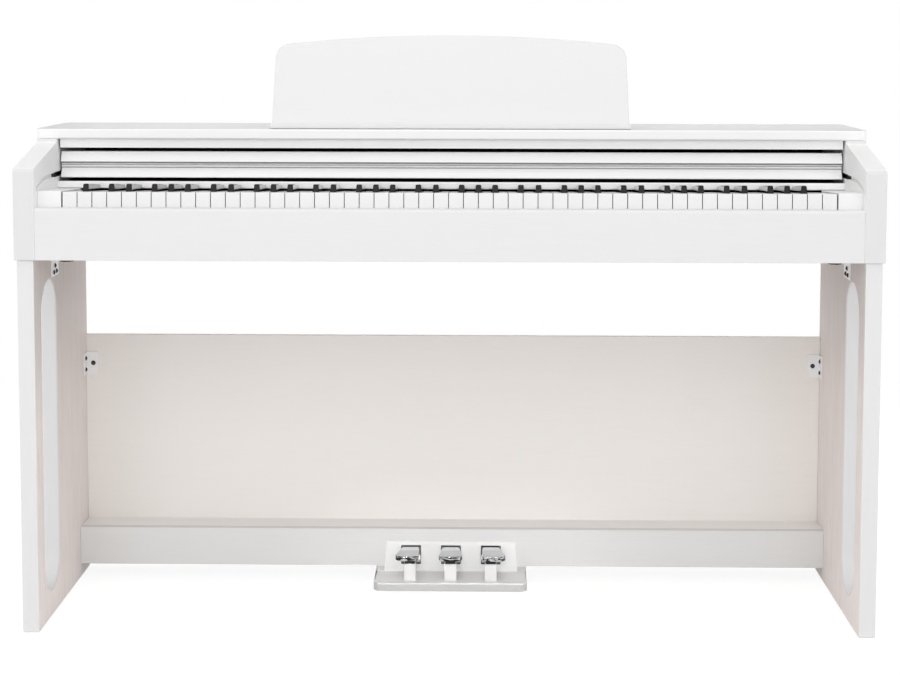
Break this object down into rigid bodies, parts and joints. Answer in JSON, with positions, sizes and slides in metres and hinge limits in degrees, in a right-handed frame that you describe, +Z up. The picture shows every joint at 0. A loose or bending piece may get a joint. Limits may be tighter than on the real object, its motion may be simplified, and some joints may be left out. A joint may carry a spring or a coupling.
{
  "type": "digital piano on stand",
  "caption": "White slim digital piano with a full keyboard, sliding key cover and folding music rest, on slotted board legs with a back panel and three pedals.",
  "frame": {"origin": "middle of the footprint on the floor", "axes": "+X along the keyboard towards the treble, +Y towards the back panel, +Z up"},
  "size_m": [1.3712, 0.406, 0.9549],
  "materials": {
    "white_board": "satin foil",
    "cream_board": "satin foil",
    "white_key": "semi gloss",
    "black_key": "matte",
    "grey_steel": "satin",
    "bright_steel": "satin",
    "red_felt": "matte",
    "green_board": "satin",
    "black_plastic": "matte",
    "grey_plastic": "satin",
    "nylon": "satin",
    "white_plastic": "satin",
    "white_steel": "satin",
    "black_steel": "satin",
    "chrome": "polished",
    "black_rubber": "matte"
  },
  "bodies": {
    "piano": {"left_arm": "white_board", "right_arm": "white_board", "front_rail": "white_board", "bottom_board": "white_board", "top_lid": "white_board", "rear_panel": "white_board", "upper_fascia": "white_board", "cover_tray": "white_board", "cheek_blocks": "white_board", "key_chassis": "grey_steel", "key_rod": "bright_steel", "key_felts": "red_felt", "contact_board": "green_board", "main_board": "green_board", "speakers": "black_plastic", "jack_panel": "black_plastic", "rest_hinges": "bright_steel", "left_leg": "white_board", "right_leg": "white_board", "back_panel": "cream_board", "stretcher_front": "white_board", "stretcher_top": "white_board", "pedal_base": "white_plastic", "pedal_panel": "white_plastic", "pedal_frame": "grey_steel", "pedal_rod": "bright_steel", "pedal_springs": "bright_steel", "pedal_stops": "white_plastic", "pedal_stop_pads": "black_rubber", "panel_brackets": "white_steel", "leg_brackets": "white_steel", "leg_knobs": "black_plastic", "stand_screws": "black_steel"},
    "key_c": {"key_c": "white_key"},
    "key_c_sharp": {"key_c_sharp": "black_key"},
    "key_d": {"key_d": "white_key"},
    "key_d_sharp": {"key_d_sharp": "black_key"},
    "key_e": {"key_e": "white_key"},
    "key_f": {"key_f": "white_key"},
    "key_f_sharp": {"key_f_sharp": "black_key"},
    "key_g": {"key_g": "white_key"},
    "key_g_sharp": {"key_g_sharp": "black_key"},
    "key_a": {"key_a": "white_key"},
    "key_a_sharp": {"key_a_sharp": "black_key"},
    "key_b": {"key_b": "white_key"},
    "bass_white_keys": {"bass_white_keys": "white_key"},
    "bass_black_keys": {"bass_black_keys": "black_key"},
    "treble_white_keys": {"treble_white_keys": "white_key"},
    "treble_black_keys": {"treble_black_keys": "black_key"},
    "cover": {"cover_panel": "white_board", "cover_moulding": "white_board", "cover_guides": "nylon"},
    "rest": {"music_rest": "white_board", "music_ledge": "white_board", "rest_hinge_leaves": "bright_steel"},
    "power_button": {"power_button": "grey_plastic"},
    "volume_knob": {"volume_knob": "grey_plastic"},
    "pedal_left": {"pedal_left": "chrome"},
    "pedal_center": {"pedal_center": "chrome"},
    "pedal_right": {"pedal_right": "chrome"}
  },
  "joints": [
    {"name": "key_c_press", "type": "hinge", "parent": "piano", "child": "key_c", "pos_m": [0, 0.0375, 0.68535], "axis": [1, 0, 0], "range_deg": [0, 2.6], "stiffness_Nm_per_rad": 0.26, "springref_deg": -28.65},
    {"name": "key_c_sharp_press", "type": "hinge", "parent": "piano", "child": "key_c_sharp", "pos_m": [0, 0.0375, 0.68535], "axis": [1, 0, 0], "range_deg": [0, 2.85], "stiffness_Nm_per_rad": 0.26, "springref_deg": -28.65},
    {"name": "key_d_press", "type": "hinge", "parent": "piano", "child": "key_d", "pos_m": [0, 0.0375, 0.68535], "axis": [1, 0, 0], "range_deg": [0, 2.6], "stiffness_Nm_per_rad": 0.26, "springref_deg": -28.65},
    {"name": "key_d_sharp_press", "type": "hinge", "parent": "piano", "child": "key_d_sharp", "pos_m": [0, 0.0375, 0.68535], "axis": [1, 0, 0], "range_deg": [0, 2.85], "stiffness_Nm_per_rad": 0.26, "springref_deg": -28.65},
    {"name": "key_e_press", "type": "hinge", "parent": "piano", "child": "key_e", "pos_m": [0, 0.0375, 0.68535], "axis": [1, 0, 0], "range_deg": [0, 2.6], "stiffness_Nm_per_rad": 0.26, "springref_deg": -28.65},
    {"name": "key_f_press", "type": "hinge", "parent": "piano", "child": "key_f", "pos_m": [0, 0.0375, 0.68535], "axis": [1, 0, 0], "range_deg": [0, 2.6], "stiffness_Nm_per_rad": 0.26, "springref_deg": -28.65},
    {"name": "key_f_sharp_press", "type": "hinge", "parent": "piano", "child": "key_f_sharp", "pos_m": [0, 0.0375, 0.68535], "axis": [1, 0, 0], "range_deg": [0, 2.85], "stiffness_Nm_per_rad": 0.26, "springref_deg": -28.65},
    {"name": "key_g_press", "type": "hinge", "parent": "piano", "child": "key_g", "pos_m": [0, 0.0375, 0.68535], "axis": [1, 0, 0], "range_deg": [0, 2.6], "stiffness_Nm_per_rad": 0.26, "springref_deg": -28.65},
    {"name": "key_g_sharp_press", "type": "hinge", "parent": "piano", "child": "key_g_sharp", "pos_m": [0, 0.0375, 0.68535], "axis": [1, 0, 0], "range_deg": [0, 2.85], "stiffness_Nm_per_rad": 0.26, "springref_deg": -28.65},
    {"name": "key_a_press", "type": "hinge", "parent": "piano", "child": "key_a", "pos_m": [0, 0.0375, 0.68535], "axis": [1, 0, 0], "range_deg": [0, 2.6], "stiffness_Nm_per_rad": 0.26, "springref_deg": -28.65},
    {"name": "key_a_sharp_press", "type": "hinge", "parent": "piano", "child": "key_a_sharp", "pos_m": [0, 0.0375, 0.68535], "axis": [1, 0, 0], "range_deg": [0, 2.85], "stiffness_Nm_per_rad": 0.26, "springref_deg": -28.65},
    {"name": "key_b_press", "type": "hinge", "parent": "piano", "child": "key_b", "pos_m": [0, 0.0375, 0.68535], "axis": [1, 0, 0], "range_deg": [0, 2.6], "stiffness_Nm_per_rad": 0.26, "springref_deg": -28.65},
    {"name": "bass_white_keys_press", "type": "hinge", "parent": "piano", "child": "bass_white_keys", "pos_m": [0, 0.0375, 0.68535], "axis": [1, 0, 0], "range_deg": [0, 2.6], "stiffness_Nm_per_rad": 5.98, "springref_deg": -28.65},
    {"name": "bass_black_keys_press", "type": "hinge", "parent": "piano", "child": "bass_black_keys", "pos_m": [0, 0.0375, 0.68535], "axis": [1, 0, 0], "range_deg": [0, 2.85], "stiffness_Nm_per_rad": 4.16, "springref_deg": -28.65},
    {"name": "treble_white_keys_press", "type": "hinge", "parent": "piano", "child": "treble_white_keys", "pos_m": [0, 0.0375, 0.68535], "axis": [1, 0, 0], "range_deg": [0, 2.6], "stiffness_Nm_per_rad": 5.72, "springref_deg": -28.65},
    {"name": "treble_black_keys_press", "type": "hinge", "parent": "piano", "child": "treble_black_keys", "pos_m": [0, 0.0375, 0.68535], "axis": [1, 0, 0], "range_deg": [0, 2.85], "stiffness_Nm_per_rad": 3.9, "springref_deg": -28.65},
    {"name": "pedal_left_press", "type": "hinge", "parent": "piano", "child": "pedal_left", "pos_m": [0, 0.181, 0.049], "axis": [1, 0, 0], "range_deg": [0, 3.4], "stiffness_Nm_per_rad": 5, "springref_deg": -28.65, "deforming": ["pedal_springs"]},
    {"name": "pedal_center_press", "type": "hinge", "parent": "piano", "child": "pedal_center", "pos_m": [0, 0.181, 0.049], "axis": [1, 0, 0], "range_deg": [0, 3.4], "stiffness_Nm_per_rad": 5, "springref_deg": -28.65, "deforming": ["pedal_springs"]},
    {"name": "pedal_right_press", "type": "hinge", "parent": "piano", "child": "pedal_right", "pos_m": [0, 0.181, 0.049], "axis": [1, 0, 0], "range_deg": [0, 3.4], "stiffness_Nm_per_rad": 5, "springref_deg": -28.65, "deforming": ["pedal_springs"]},
    {"name": "key_cover_slide", "type": "slide", "parent": "piano", "child": "cover", "axis": [0, -1, 0], "range_m": [0, 0.16]},
    {"name": "music_rest_fold", "type": "hinge", "parent": "piano", "child": "rest", "pos_m": [0, -0.003, 0.80288], "axis": [-1, 0, 0], "range_deg": [0, 72]},
    {"name": "power_button_press", "type": "slide", "parent": "piano", "child": "power_button", "axis": [0, -1, 0], "range_m": [0, 0.0015], "stiffness_N_per_m": 500, "springref_m": -0.003},
    {"name": "volume_knob_turn", "type": "hinge", "parent": "piano", "child": "volume_knob", "pos_m": [-0.193, 0.191, 0.66], "axis": [0, 1, 0], "range_deg": [-135, 135]}
  ]
}
